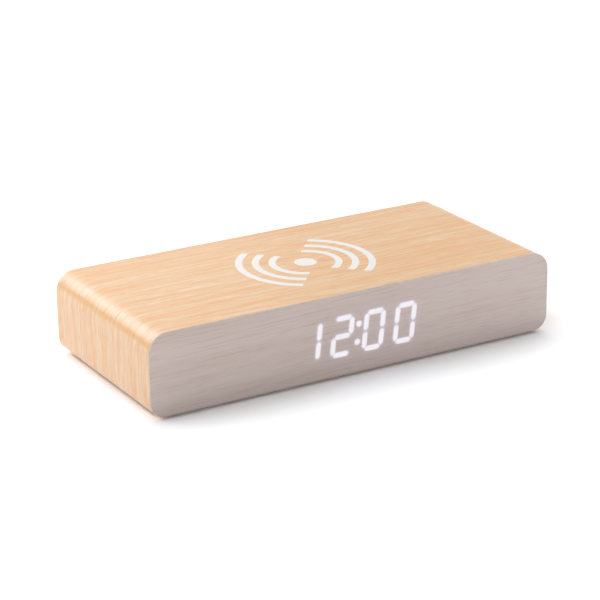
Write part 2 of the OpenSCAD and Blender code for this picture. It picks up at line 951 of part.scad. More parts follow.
module switch_bodies() {
  color([0.15, 0.15, 0.16])
    for (i = [-1 : 1])
      difference() {
        board_block(i * button_pitch, switch_y - switch_d / 2, switch_w, switch_d, socket_h);
        along_y(switch_y - plunger_in - button_travel - button_gap, switch_y + cut)
          translate([i * button_pitch, port_z])
            circle(plunger_d / 2 + button_gap);
      }
}

// Rear cover and buttons

// Ring over the set button, triangle pointing up and triangle pointing down over the others
module button_signs() {
  translate([-button_pitch, 0])
    difference() {
      circle(sign_w / 2);
      circle(sign_w / 4);
    }
  for (place = [0, 1])
    translate([place * button_pitch, 0])
      rotate(180 * place)
        polygon([
          [-sign_w / 2, -sign_w / 2],
          [sign_w / 2, -sign_w / 2],
          [0, sign_w / 2]
        ]);
}

module rear_cover() {
  color([0.68, 0.63, 0.6])
    difference() {
      along_y(cover_y, rear_y)
        outline(wall + slide_gap);
      along_y(rear_y - bay_depth, rear_y + cut)
        translate([0, port_z])
          stadium(2 * button_pitch + bay_h, bay_h);
      for (i = [-1 : 1])
        along_y(cover_y - cut, rear_y + cut)
          translate([i * button_pitch, port_z])
            circle(button_d / 2 + button_gap);
      along_y(rear_y - sign_depth, rear_y + cut)
        translate([0, port_z + bay_h / 2 + sign_gap + sign_w / 2])
          button_signs();
      along_y(cover_y - cut, rear_y + cut)
        translate([socket_x, port_z])
          stadium(socket_w + 2 * socket_gap, socket_h + 2 * socket_gap);
      along_y(cover_y - cut, rear_y + cut)
        translate([buzzer_x, port_z]) {
          circle(d = sound_d);
          for (turn = [0 : 60 : 300])
            rotate(turn)
              translate([sound_pitch, 0])
                circle(d = sound_d);
        }
      at_rear_screws()
        cylinder(d = screw_d + 2 * screw_pass, h = body_d);
      translate([0, rear_y - head_h, 0])
        at_rear_screws()
          cylinder(d = head_d + 2 * head_gap, h = head_h + cut);
    }
}

module rear_screws() {
  color([0.6, 0.6, 0.62])
    translate([0, rear_y - head_h, 0])
      at_rear_screws()
        screw(cover_t - head_h);
}

// Round button turned about its own axis: stem, collar behind the cover, bevelled face
module button(place) {
  translate([place * button_pitch, 0, port_z])
    rotate([-90, 0, 0])
      rotate_extrude()
        polygon([
          [0, plunger_y],
          [stem_d / 2, plunger_y],
          [stem_d / 2, collar_y - collar_t],
          [collar_d / 2, collar_y - collar_t],
          [collar_d / 2, collar_y],
          [button_d / 2, collar_y],
          [button_d / 2, button_face - button_bevel],
          [button_d / 2 - button_bevel, button_face],
          [0, button_face]
        ]);
}

module set_button() {
  color([0.42, 0.39, 0.37])
    button(-1);
}

module up_button() {
  color([0.42, 0.39, 0.37])
    button(0);
}

module down_button() {
  color([0.42, 0.39, 0.37])
    button(1);
}

module plunger(place) {
  along_y(switch_y - plunger_in, plunger_y)
    translate([place * button_pitch, port_z])
      circle(plunger_d / 2);
}

module set_plunger() {
  color([0.8, 0.3, 0.2])
    plunger(-1);
}

module up_plunger() {
  color([0.8, 0.3, 0.2])
    plunger(0);
}

module down_plunger() {
  color([0.8, 0.3, 0.2])
    plunger(1);
}

wood_sleeve();
front_veneer();
front_panel();
lit_segments();
dark_segments();
colon_dots();
charge_mark();
display_housing();
segment_leds();
display_board();
display_driver();
display_ribbon();
chassis();
base_screws();
rubber_feet();
coil_tray();
tray_screws();
ferrite_shield();
charging_coil();
coil_leads();
main_board();
board_screws();
board_chips();
coil_capacitors();
power_inductor();
cell_holder();
backup_cell();
cell_clip();
buzzer();
socket_shell();
socket_tongue();
switch_bodies();
rear_cover();
rear_screws();
set_button();
up_button();
down_button();
set_plunger();
up_plunger();
down_plunger();
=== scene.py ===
import math

import bmesh
import bpy
import numpy as np
from mathutils import Matrix, Vector


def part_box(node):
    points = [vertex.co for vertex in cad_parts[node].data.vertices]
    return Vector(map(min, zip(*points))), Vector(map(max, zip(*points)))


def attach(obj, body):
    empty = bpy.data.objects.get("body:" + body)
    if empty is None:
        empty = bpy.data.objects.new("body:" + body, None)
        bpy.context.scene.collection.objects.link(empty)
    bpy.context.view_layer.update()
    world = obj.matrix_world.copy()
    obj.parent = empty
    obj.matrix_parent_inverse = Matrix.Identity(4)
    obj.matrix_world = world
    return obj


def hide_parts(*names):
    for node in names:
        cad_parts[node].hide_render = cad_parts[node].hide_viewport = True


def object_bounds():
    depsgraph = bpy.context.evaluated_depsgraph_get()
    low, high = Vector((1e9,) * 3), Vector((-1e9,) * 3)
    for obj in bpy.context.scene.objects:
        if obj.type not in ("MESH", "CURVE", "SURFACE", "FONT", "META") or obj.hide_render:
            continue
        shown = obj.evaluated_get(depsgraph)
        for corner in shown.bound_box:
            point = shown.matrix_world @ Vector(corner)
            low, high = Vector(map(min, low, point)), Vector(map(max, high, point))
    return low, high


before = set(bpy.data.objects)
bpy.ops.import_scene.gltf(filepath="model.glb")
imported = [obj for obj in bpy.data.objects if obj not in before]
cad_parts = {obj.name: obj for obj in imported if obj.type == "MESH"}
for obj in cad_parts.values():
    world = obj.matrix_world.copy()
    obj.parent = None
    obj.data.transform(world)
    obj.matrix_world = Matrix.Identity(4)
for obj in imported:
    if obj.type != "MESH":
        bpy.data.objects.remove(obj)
cad_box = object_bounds()


# View
# A long lens stands a little above the clock and to its left, with its front face
# towards the viewer. The angles come from fitting the clock's own straight edges.
mm = 0.001
view_turn, view_rise, view_roll = (math.radians(a) for a in (-30.0966, 20.3483, -0.6777))
view_reach = 754.5824 * mm
lens_length, sensor_width = 135.5204, 36
aim_height, aim_left, aim_up = 14.7 * mm, 1.5623 * mm, 0.1747 * mm
view_back = Vector((
    math.sin(view_turn) * math.cos(view_rise),
    -math.cos(view_turn) * math.cos(view_rise),
    math.sin(view_rise),
))
level_right = (-view_back).cross(Vector((0, 0, 1))).normalized()
level_up = level_right.cross(-view_back)
view_right = level_right * math.cos(view_roll) + level_up * math.sin(view_roll)
view_up = level_up * math.cos(view_roll) - level_right * math.sin(view_roll)
view_aim = Vector((0, 0, aim_height)) - view_right * aim_left + view_up * aim_up

camera = bpy.data.objects.new("camera", bpy.data.cameras.new("camera"))
camera.data.sensor_width, camera.data.lens = sensor_width, lens_length
camera.data.clip_start, camera.data.clip_end = 0.01, 50
camera.matrix_world = Matrix.Translation(view_aim + view_back * view_reach) @ Matrix(
    (view_right, view_up, view_back)
).transposed().to_4x4()
bpy.context.scene.collection.objects.link(camera)
bpy.context.scene.camera = camera
bpy.context.scene.view_settings.view_transform = "Standard"


# Studio
# A white card carries the clock under a broad soft bank of lamps, from overhead to behind, with a
# low lamp in front and a panel at each end. It shows white to the lens and keeps the shadow. Near the
# clock it also has painted shade: a painted shadow by the right end and under the clock, a cooler
# painted lift by the left end, and a darker bounce just in front that shades the foot of the front
# face. Three more cards, behind, are seen only as reflections in the film.
def ink(red, green, blue):
    """A colour as read off a screen, 0 to 255, as the linear values that sockets take."""
    parts = [c / 255 for c in (red, green, blue)]
    return (*[c / 12.92 if c <= 0.04045 else ((c + 0.055) / 1.055) ** 2.4 for c in parts], 1)


class Wire:
    """An output of a node. A sum written with it adds Math nodes to its tree."""

    def __init__(self, wiring, socket):
        self.wiring, self.socket = wiring, socket

    def also(self, output):
        """Another output of the same node."""
        return Wire(self.wiring, self.socket.node.outputs[output])

    def sum(self, operation, first, second=0.0):
        return self.wiring.node("ShaderNodeMath", {"operation": operation}, {0: first, 1: second})

    def __add__(self, other):
        return self.sum("ADD", self, other)

    def __sub__(self, other):
        return self.sum("SUBTRACT", self, other)

    def __rsub__(self, other):
        return self.sum("SUBTRACT", other, self)

    def __mul__(self, other):
        return self.sum("MULTIPLY", self, other)

    def __truediv__(self, other):
        return self.sum("DIVIDE", self, other)

    def __rtruediv__(self, other):
        return self.sum("DIVIDE", other, self)

    def __abs__(self):
        return self.sum("ABSOLUTE", self)

    __radd__, __rmul__ = __add__, __mul__

    def most(self, other):
        return self.sum("MAXIMUM", self, other)

    def rise(self, low, high):
        """0 below low, 1 above high and a smooth step between them."""
        return self.wiring.node(
            "ShaderNodeMapRange", {"interpolation_type": "SMOOTHSTEP"}, {0: self, 1: low, 2: high}
        )


class Wiring:
    """A node tree, emptied, with one way to add any node to it."""

    def __init__(self, tree):
        self.tree = tree
        tree.nodes.clear()

    def node(self, kind, settings=None, sockets=None, output=0):
        made = self.tree.nodes.new(kind)
        for name, value in (settings or {}).items():
            setattr(made, name, value)
        for name, value in (sockets or {}).items():
            if isinstance(value, Wire):
                self.tree.links.new(value.socket, made.inputs[name])
            else:
                made.inputs[name].default_value = value
        return Wire(self, made.outputs[output]) if len(made.outputs) else made

    def blend(self, amount, first, second):
        """A colour that goes from the first to the second by an amount."""
        return self.node(
            "ShaderNodeMix", {"data_type": "RGBA"}, {0: amount, 6: first, 7: second}, 2
        )

    def place(self):
        """Where a point of a surface lies, in the frame that all pieces share."""
        return self.node("ShaderNodeTexCoord", {}, {}, "Object")

    def split(self, vector):
        """The x of a vector, whose y and z are also outputs 1 and 2."""
        return self.node("ShaderNodeSeparateXYZ", {}, {0: vector})


def new_finish(name):
    material = bpy.data.materials.new(name)
    material.use_nodes = True
    return material, Wiring(material.node_tree)


def sees_studio(wiring):
    """1 on rays that show the studio itself: to the lens, in gloss and through glass."""
    path = wiring.node("ShaderNodeLightPath")
    return path.also("Is Camera Ray").most(path.also("Is Glossy Ray")).most(
        path.also("Is Transmission Ray")
    )


room = bpy.data.worlds.new("room")
bpy.context.scene.world = room
room.use_nodes = True
wiring = Wiring(room.node_tree)
room_light = wiring.node("ShaderNodeBackground", {}, {
    "Color": (1, 0.99, 0.98, 1), "Strength": 0.14,
})
white_backdrop = wiring.node("ShaderNodeBackground", {}, {"Color": (1, 1, 1, 1), "Strength": 1.0})
wiring.node("ShaderNodeOutputWorld", {}, {"Surface": wiring.node("ShaderNodeMixShader", {}, {
    0: sees_studio(wiring), 1: room_light, 2: white_backdrop,
})})

lamps = [("front_lamp", 1.29, 40, (-0.1, -0.99, 0.08))]
for row, strength, back, high in (
    ("high", 0.24, 0.17, 0.98), ("mid", 0.27, 0.41, 0.91), ("low", 0.2, 0.62, 0.79),
):
    for hand, side, share in (("left", -0.24, 0.9), ("right", 0.24, 1.1)):
        lamps.append((f"bank_{row}_{hand}", strength * share, 34, (side, back, high)))
for name, strength, spread, side in lamps:
    lamp = bpy.data.objects.new(name, bpy.data.lights.new(name, "SUN"))
    lamp.data.energy, lamp.data.angle = strength, math.radians(spread)
    lamp.rotation_euler = Vector(side).to_track_quat("Z", "Y").to_euler()
    lamp.visible_glossy = name != "front_lamp"
    bpy.context.scene.collection.objects.link(lamp)
for name, power, place, wide, high, lights in (
    ("left_panel", 0.46, (-0.31, 0.09, 0.22), 0.25, 0.18, True),
    ("right_panel", 0.28, (0.31, 0.09, 0.22), 0.25, 0.18, True),
    ("rear_left_card", 1.6, (-0.315, 0.664, 0.44), 0.5, 0.36, False),
    ("rear_mid_card", 0.18, (0.06, 0.7, 0.49), 0.26, 0.36, False),
    ("rear_right_card", 0.15, (0.2, 0.68, 0.3), 0.3, 0.25, False),
):
    lamp = bpy.data.objects.new(name, bpy.data.lights.new(name, "AREA"))
    lamp.data.energy, lamp.data.shape = power, "RECTANGLE"
    lamp.data.size, lamp.data.size_y = wide, high
    lamp.location = place
    lamp.rotation_euler = Vector(place).to_track_quat("Z", "Y").to_euler()
    lamp.visible_diffuse, lamp.visible_glossy = lights, not lights
    bpy.context.scene.collection.objects.link(lamp)

near_reach, far_reach = 130 * mm, 400 * mm
near_tone, far_tone = (1.4, 1.44, 1.48, 1), (2.2, 2.2, 2.2, 1)
# Painted tones by the ends: a painted shadow by the right end, and a cooler painted lift by the left
# end against the film's warm bounce.
left_painted_cool, right_painted_shadow = (1.28, 1.42, 1.58, 1), (0.85, 0.88, 0.91, 1)
# Painted shadow: a dark floor tone under the clock's rim.
under_painted_shadow = (0.55, 0.55, 0.55, 1)
# Painted shade: a dark bounce colour that darkens the foot of the front face.
full_bounce, painted_shade_bounce = (1, 1, 1, 1), (0.3, 0.3, 0.3, 1)
card, wiring = new_finish("studio_card")
spot = wiring.place()
reach = wiring.node("ShaderNodeVectorMath", {"operation": "LENGTH"}, {0: spot}, "Value")
tone = wiring.blend(reach.rise(near_reach, far_reach), near_tone, far_tone)
spot = wiring.split(spot)
ahead = cad_box[0][1] - spot.also(1)
behind = spot.also(1) - cad_box[1][1]
beyond = abs(spot) - cad_box[1][0]
# Where the painted tones by the ends lie: up to 20 mm out, fading towards the front and the back.
beside = beyond.rise(-3 * mm, 0.0) * (1 - beyond.rise(0.0, 20 * mm))
beside = beside * (1 - ahead.rise(-14 * mm, 3 * mm)) * (1 - behind.rise(-10 * mm, 10 * mm))
end_painted_tone = wiring.blend(spot.rise(-1 * mm, 1 * mm), left_painted_cool, right_painted_shadow)
tone = wiring.blend(beside, tone, end_painted_tone)
# Painted shadow under the clock, a few millimetres in from its outline and clear of the front.
under = (1 - beyond.rise(-4.5 * mm, -2 * mm)) * (1 - ahead.rise(-6 * mm, -3 * mm))
under = under * (1 - behind.rise(-4 * mm, -2 * mm))
tone = wiring.blend(under, tone, under_painted_shadow)
# Painted shade: just in front of the clock the floor throws back less light, so the foot of the front
# face is darker.
close = ahead.rise(-1 * mm, 0.0) * (1 - ahead.rise(3 * mm, 22 * mm))
close = close * (1 - beyond.rise(-5 * mm, 8 * mm))
bounce = wiring.blend(close, full_bounce, painted_shade_bounce)
wiring.node("ShaderNodeOutputMaterial", {}, {"Surface": wiring.node("ShaderNodeMixShader", {}, {
    0: sees_studio(wiring),
    1: wiring.node("ShaderNodeBsdfDiffuse", {}, {"Color": bounce}),
    2: wiring.node("ShaderNodeBsdfDiffuse", {}, {"Color": tone}),
})})
floor_reach = 4.0
floor_corners = [
    (x * floor_reach, y * floor_reach, 0) for x, y in ((-1, -1), (1, -1), (1, 1), (-1, 1))
]
floor_mesh = bpy.data.meshes.new("floor")
floor_mesh.from_pydata(floor_corners, [], [(0, 1, 2, 3)])
floor_mesh.materials.append(card)
floor = bpy.data.objects.new("floor", floor_mesh)
bpy.context.scene.collection.objects.link(floor)


# Bamboo sleeve
# The body is a fibreboard sleeve with round long edges, wrapped in one sheet of
# satin bamboo-look film. The sheet's grain runs round the sleeve, over the top and down
# the ends, it turns in over the rear rim, and its two ends meet underneath.
def named_inputs(tree, inputs):
    """Adds named sockets to a geometry tree and gives the wires that leave them."""
    tree.interface.new_socket("Geometry", in_out="OUTPUT", socket_type="NodeSocketGeometry")
    sockets = {
        name: tree.interface.new_socket(name, in_out="INPUT", socket_type="NodeSocket" + kind)
        for name, kind in inputs.items()
    }
    wiring = Wiring(tree)
    entry = wiring.node("NodeGroupInput")
    wires = {name: entry.also(name) for name in inputs}
    return wiring, wires, {name: socket.identifier for name, socket in sockets.items()}


def make_plain(host, tree, identifiers, values):
    """Runs a geometry tree on an object and leaves its result there as a plain mesh."""
    modifier = host.modifiers.new("make", "NODES")
    modifier.node_group = tree
    for name, value in values.items():
        modifier[identifiers[name]] = value
    graph = bpy.context.evaluated_depsgraph_get()
    mesh = bpy.data.meshes.new_from_object(host.evaluated_get(graph))
    mesh.name = host.name
    host.modifiers.remove(modifier)
    host.data = mesh
    return mesh


def smoothed(piece, degrees=35):
    """Shades a piece's rounded edges smooth, and keeps its flat faces flat right up to them."""
    piece.data.shade_smooth()
    piece.data.set_sharp_from_angle(angle=math.radians(degrees))
    piece.modifiers.new("flat_faces", "WEIGHTED_NORMAL").keep_sharp = True


def noise(wiring, spot, scale, detail, rough=0.5):
    """Even noise, about as many lumps to the metre as the scale says."""
    return wiring.node("ShaderNodeTexNoise", {}, {
        "Vector": spot, "Scale": scale, "Detail": detail, "Roughness": rough,
    })


def grain(wiring, along, across, layer, detail=2.0):
    """Noise over two measured directions: a grain where one is drawn out."""
    spot = wiring.node("ShaderNodeCombineXYZ", {}, {0: along, 1: across, 2: layer})
    return noise(wiring, spot, 1.0, detail)


def coat(material, wiring, colour, rough, height, lift, fixed=None, metal=0.0):
    """Closes a finish: colour and roughness on the shader, and a relief of real height."""
    relief = wiring.node("ShaderNodeBump", {}, {"Distance": lift, "Height": height})
    shader = wiring.node("ShaderNodeBsdfPrincipled", {}, {
        "Base Color": colour, "Roughness": rough, "Metallic": metal, "Normal": relief,
        **(fixed or {}),
    })
    wiring.node("ShaderNodeOutputMaterial", {}, {"Surface": shader})
    return material


def link_piece(name, mesh):
    piece = bpy.data.objects.new(name, mesh)
    bpy.context.scene.collection.objects.link(piece)
    return piece


film_skin = 0.02 * mm
sleeve_low, sleeve_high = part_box("wood_sleeve")
sleeve_w = sleeve_high.x - sleeve_low.x - 2 * film_skin
sleeve_h = sleeve_high.z - sleeve_low.z - 2 * film_skin
sleeve_d = sleeve_high.y - sleeve_low.y - film_skin
sleeve_mid_z = (sleeve_high.z + sleeve_low.z) / 2
sleeve_corner, sleeve_base_corner = 6.6 * mm, 5 * mm
sleeve_wall, sleeve_edge = 3 * mm, 0.35 * mm
corner_steps, edge_steps, way_step = 24, 4, 0.8 * mm
upper_way, lower_way = (
    (sleeve_w + sleeve_h) / 2 + (math.pi / 2 - 2) * r for r in (sleeve_corner, sleeve_base_corner)
)
half_round = upper_way + lower_way

bend_foot, seam_w = 7.6 * mm, 0.1 * mm
pale_straw, deep_straw, end_straw_and_highlight = ink(247, 215, 175), ink(244, 202, 150), ink(247, 219, 192)
streak_tan, line_tan, fibre_tan = ink(243, 177, 108), ink(243, 175, 104), ink(240, 175, 108)
film, wiring = new_finish("bamboo_film")
wrap = wiring.split(wiring.node("ShaderNodeUVMap", {"uv_map": "wrap"}))
along, across = wrap, wrap.also(1)
sway = grain(wiring, along * 14, across * 30, 0.7) - 0.5
across = across + sway * (1.4 * mm)
bands = grain(wiring, along * 7, across * 150, 3.1, 1.0)
broad = grain(wiring, along * 12, across * 60, 8.4, 1.0)
streaks = grain(wiring, along * 32, across * 420, 12.5)
lines = grain(wiring, along * 55, across * 1300, 17.2, 1.0)
fibres = grain(wiring, along * 220, across * 2800, 20.6, 1.0)
pores = grain(wiring, along * 420, across * 5200, 23.9, 1.0)
over_end = abs(along) - (sleeve_w / 2 - sleeve_corner)
on_end = over_end.rise(0.5 * mm, 3.5 * mm)
# Over the upper bends the colour is paled and the grain calmed: a painted highlight. The ends are
# paler and calmer too.
painted_highlight_band = on_end * (1 - over_end.rise(5.5 * mm, 8 * mm))
streak_share = 0.6 - on_end * 0.36 - painted_highlight_band * 0.12
line_share = 0.65 - on_end * 0.2 - painted_highlight_band * 0.22
colour = wiring.blend(bands.rise(0.36, 0.64), pale_straw, deep_straw)
colour = wiring.blend(broad.rise(0.4, 0.75) * 0.4, colour, ink(247, 214, 174))
# The ends' paler straw, laid more strongly over the upper bends as a painted highlight.
colour = wiring.blend(on_end * 0.6 + painted_highlight_band * 0.2, colour, end_straw_and_highlight)
colour = wiring.blend(streaks.rise(0.42, 0.7) * streak_share, colour, streak_tan)
colour = wiring.blend(lines.rise(0.42, 0.64) * line_share, colour, line_tan)
colour = wiring.blend(fibres.rise(0.45, 0.72) * 0.66, colour, fibre_tan)
colour = wiring.blend(pores.rise(0.6, 0.78) * 0.4, colour, ink(220, 156, 97))
# Painted shade: a deeper orange line along the foot of each upper bend, where the film reflects
# nothing bright.
from_foot = abs(over_end - bend_foot)
colour = wiring.blend((1 - from_foot.rise(0.2 * mm, 1.5 * mm)) * 0.55, colour, ink(243, 184, 114))
seam = abs(along).rise(half_round - 1.6 * seam_w, half_round - seam_w)
colour = wiring.blend(seam * 0.7, colour, ink(120, 88, 62))
grain_depth = 0.4 - on_end * 0.2 - painted_highlight_band * 0.14
relief = (lines + streaks) * grain_depth - pores.rise(0.6, 0.8) * 0.3 - seam
coat(film, wiring, colour, 0.26 + streaks * 0.1, relief, 0.012 * mm, {"IOR": 1.55})

tree = bpy.data.node_groups.new("sleeve_sweep", "GeometryNodeTree")
wiring, size, keys = named_inputs(tree, {
    "Width": "Float", "Height": "Float", "Depth": "Float", "Wall": "Float", "Corner": "Float",
    "Base Corner": "Float", "Edge": "Float", "Step": "Float", "Place": "Vector",
    "Finish": "Material",
})
path = wiring.node("GeometryNodeCurvePrimitiveQuadrilateral", {}, {
    "Width": size["Width"] - size["Wall"], "Height": size["Height"] - size["Wall"],
})
level = wiring.split(wiring.node("GeometryNodeInputPosition")).also(1)
upper = level.rise(-0.1 * mm, 0.1 * mm)
corner = size["Base Corner"] + (size["Corner"] - size["Base Corner"]) * upper
path = wiring.node("GeometryNodeFilletCurve", {"mode": "POLY"}, {
    "Curve": path, "Count": corner_steps, "Radius": corner - size["Wall"] / 2,
})
path = wiring.node("GeometryNodeResampleCurve", {"mode": "LENGTH"}, {
    "Curve": path, "Length": size["Step"],
})
path = wiring.node("GeometryNodeSetCurveNormal", {"mode": "Z_UP"}, {"Curve": path})
section = wiring.node("GeometryNodeCurvePrimitiveQuadrilateral", {}, {
    "Width": size["Wall"], "Height": size["Depth"],
})
section = wiring.node("GeometryNodeFilletCurve", {"mode": "POLY"}, {
    "Curve": section, "Count": edge_steps, "Radius": size["Edge"],
})
tube = wiring.node("GeometryNodeCurveToMesh", {}, {"Curve": path, "Profile Curve": section})
tube = wiring.node("GeometryNodeTransform", {}, {
    "Geometry": tube, "Rotation": (math.pi / 2, 0, 0), "Translation": size["Place"],
})
tube = wiring.node("GeometryNodeRealizeInstances", {}, {"Geometry": tube})
tube = wiring.node("GeometryNodeSetMaterial", {}, {"Geometry": tube, "Material": size["Finish"]})
wiring.node("NodeGroupOutput", {}, {0: tube})

sleeve = link_piece("bamboo_sleeve", bpy.data.meshes.new("bamboo_sleeve"))
mesh = make_plain(sleeve, tree, keys, {
    "Width": sleeve_w, "Height": sleeve_h, "Depth": sleeve_d, "Wall": sleeve_wall,
    "Corner": sleeve_corner, "Base Corner": sleeve_base_corner, "Edge": sleeve_edge,
    "Step": way_step, "Place": (0, sleeve_low.y + sleeve_d / 2, sleeve_mid_z), "Finish": film,
})
smoothed(sleeve)

spot = np.array([v.co for v in mesh.vertices]) - (0, 0, sleeve_mid_z)
upper = spot[:, 2] > 0
corner = np.where(upper, sleeve_corner, sleeve_base_corner)
near_x = np.minimum(np.abs(spot[:, 0]), sleeve_w / 2 - corner)
near_z = np.clip(spot[:, 2], corner - sleeve_h / 2, sleeve_h / 2 - corner)
off_x, off_z = np.abs(spot[:, 0]) - near_x, spot[:, 2] - near_z
turned = corner * np.arctan2(off_x, np.abs(off_z))
from_middle = near_x + turned + sleeve_h / 2 - corner - np.abs(near_z)
round_way = np.where(upper, from_middle, half_round - from_middle)
round_way *= np.where(spot[:, 0] < 0, -1, 1)
inward = corner - np.hypot(off_x, off_z)
over_rim = spot[:, 1] + inward
unrolled = mesh.uv_layers.new(name="wrap")
for face in mesh.polygons:
    ways = round_way[list(face.vertices)]
    if ways.max() - ways.min() > half_round:
        ways = np.where(ways < 0, ways + 2 * half_round, ways)
    for loop, way, rim in zip(face.loop_indices, ways, over_rim[list(face.vertices)]):
        unrolled.data[loop].uv = (way, rim)
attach(sleeve, "case")
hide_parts("wood_sleeve")


# Lit numerals
# Four seven-segment numerals and a colon shine through windows in the front face. Each
# bar is a milky light pipe with pointed, slightly rounded ends, and all lean right.
numeral_w, numeral_h, numeral_pitch = 8.1 * mm, 14 * mm, 11.9 * mm
bar_t, bar_gap, bar_round = 1.75 * mm, 0.16 * mm, 0.3 * mm
numeral_lean = math.tan(math.radians(6.5))
dots_low, dots_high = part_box("colon_dots")
display_z = (dots_low.z + dots_high.z) / 2
dot_d, dot_rise, dot_core = 2 * mm, 3.05 * mm, 0.01 * mm
lit_y = dots_low.y
face_y = lit_y + film_skin
pipe_depth, pipe_edge = 0.4 * mm, 0.03 * mm
arm_x, arm_z = (numeral_w - bar_t) / 2, (numeral_h - bar_t) / 2
bars = {
    "a": (0, arm_z, 0), "g": (0, 0, 0), "d": (0, -arm_z, 0),
    "b": (arm_x, arm_z / 2, 1), "c": (arm_x, -arm_z / 2, 1),
    "e": (-arm_x, -arm_z / 2, 1), "f": (-arm_x, arm_z / 2, 1),
}
shown_time = ["bc", "abged", "abcdef", "abcdef"]
flat_bar, tall_bar = 2 * arm_x - 2 * bar_gap, arm_z - 2 * bar_gap

glow, wiring = new_finish("lit_plastic")
spot = wiring.place()
haze = noise(wiring, spot, 900.0, 2.0)
milk = noise(wiring, spot, 160.0, 1.0)
shine = wiring.blend(milk, ink(243, 240, 247), ink(252, 251, 253))
colour = wiring.blend(haze, ink(60, 60, 66), ink(72, 72, 78))
coat(glow, wiring, colour, 0.42 + haze * 0.1, haze, 0.01 * mm, {
    "Emission Color": shine, "Emission Strength": 0.88,
})


def set_out_tree():
    """Sets a made piece at every point of a mesh, turned and stretched as the point says."""
    tree = bpy.data.node_groups.new("set_out", "GeometryNodeTree")
    wiring, put, keys = named_inputs(tree, {
        "Points": "Geometry", "Piece": "Object", "Lean": "Float", "Pivot": "Float",
        "Finish": "Material",
    })
    piece = wiring.node("GeometryNodeObjectInfo", {}, {"Object": put["Piece"]}, "Geometry")
    turn, stretch = (
        wiring.node("GeometryNodeInputNamedAttribute", {"data_type": "FLOAT_VECTOR"}, {"Name": n})
        for n in ("turn", "stretch")
    )
    row = wiring.node("GeometryNodeInstanceOnPoints", {}, {
        "Points": put["Points"], "Instance": piece, "Rotation": turn, "Scale": stretch,
    })
    row = wiring.node("GeometryNodeRealizeInstances", {}, {"Geometry": row})
    level = wiring.split(wiring.node("GeometryNodeInputPosition")).also(2)
    shift = wiring.node("ShaderNodeCombineXYZ", {}, {0: (level - put["Pivot"]) * put["Lean"]})
    row = wiring.node("GeometryNodeSetPosition", {}, {"Geometry": row, "Offset": shift})
    row = wiring.node("GeometryNodeSetMaterial", {}, {"Geometry": row, "Material": put["Finish"]})
    wiring.node("NodeGroupOutput", {}, {0: row})
    return tree, keys


row_tree, row_keys = set_out_tree()


def set_out(name, pattern, places, finish, lean=0.0, pivot=0.0):
    """One plain piece made of copies of a pattern mesh: places hold (point, turn, stretch)."""
    row = link_piece(name, bpy.data.meshes.new(name))
    row.data.from_pydata([p[0] for p in places], [], [])
    for index, attribute in ((1, "turn"), (2, "stretch")):
        values = np.array([p[index] for p in places], np.float32).ravel()
        layer = row.data.attributes.new(attribute, "FLOAT_VECTOR", "POINT")
        layer.data.foreach_set("vector", values)
    model = link_piece(name + "_pattern", pattern)
    make_plain(row, row_tree, row_keys, {
        "Piece": model, "Lean": lean, "Pivot": pivot, "Finish": finish,
    })
    bpy.data.objects.remove(model)
    smoothed(row)
    return row


def rounded_outline(corners, radius, steps):
    """Points round a convex outline, given its corners pulled in by the radius."""
    points = []
    for i, corner in enumerate(corners):
        before = Vector(corner) - Vector(corners[i - 1])
        after = Vector(corners[(i + 1) % len(corners)]) - Vector(corner)
        start = math.atan2(-before.x, before.y)
        sweep = (math.atan2(-after.x, after.y) - start) % (2 * math.pi)
        for k in range(steps + 1):
            a = start + sweep * k / steps
            points.append((corner[0] + radius * math.cos(a), corner[1] + radius * math.sin(a)))
    return points


def bridged(made, rings):
    """Rings of (x, y, z) points joined by faces, as the vertices of each ring."""
    loops = [[made.verts.new(p) for p in ring] for ring in rings]
    for low, high in zip(loops, loops[1:]):
        for i in range(len(low)):
            made.faces.new((low[i - 1], low[i], high[i], high[i - 1]))
    return loops


def finished_mesh(made, name):
    """The faces made so far as a mesh, all pointing outwards."""
    bmesh.ops.recalc_face_normals(made, faces=made.faces)
    mesh = bpy.data.meshes.new(name)
    made.to_mesh(mesh)
    made.free()
    return mesh


def slab(name, rings):
    """A closed slab through rings of points, capped at both ends."""
    made = bmesh.new()
    loops = bridged(made, rings)
    made.faces.new(loops[0])
    made.faces.new(loops[-1][::-1])
    return finished_mesh(made, name)


def lit_pattern(name, corners, radius, steps):
    """A light pipe's end: its outline stands from inside the face, with a broken edge."""
    return slab(name, [
        [(x, depth, z) for x, z in rounded_outline(corners, radius - inset, steps)]
        for inset, depth in ((0, pipe_depth), (0, pipe_edge), (pipe_edge, 0.0))
    ])


tip, shoulder = flat_bar / 2 - bar_round * math.sqrt(2), bar_t / 2 - bar_round
bar_corners = [
    (tip, 0), (tip - shoulder, shoulder), (shoulder - tip, shoulder),
    (-tip, 0), (shoulder - tip, -shoulder), (tip - shoulder, -shoulder),
]
bar_places = []
for i, names in enumerate(shown_time):
    numeral_x = (i - (len(shown_time) - 1) / 2) * numeral_pitch
    for x, z, stands in (bars[n] for n in names):
        bar_places.append((
            (numeral_x + x, lit_y, display_z + z), (0, stands * math.pi / 2, 0),
            (tall_bar / flat_bar if stands else 1, 1, 1),
        ))
bar = lit_pattern("bar", bar_corners, bar_round, steps=4)
lit_bars = set_out("lit_bars", bar, bar_places, glow, numeral_lean, display_z)
sixths = [k * math.pi / 3 for k in range(6)]
dot_corners = [(dot_core * math.cos(a), dot_core * math.sin(a)) for a in sixths]
dot_places = [
    ((numeral_lean * rise, lit_y, display_z + rise), (0, 0, 0), (1, 1, 1))
    for rise in (-dot_rise, dot_rise)
]
dot = lit_pattern("dot", dot_corners, dot_d / 2, steps=6)
lit_dots = set_out("lit_dots", dot, dot_places, glow)
for piece, node in ((lit_bars, "lit_segments"), (lit_dots, "colon_dots")):
    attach(piece, "case")
    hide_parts(node)


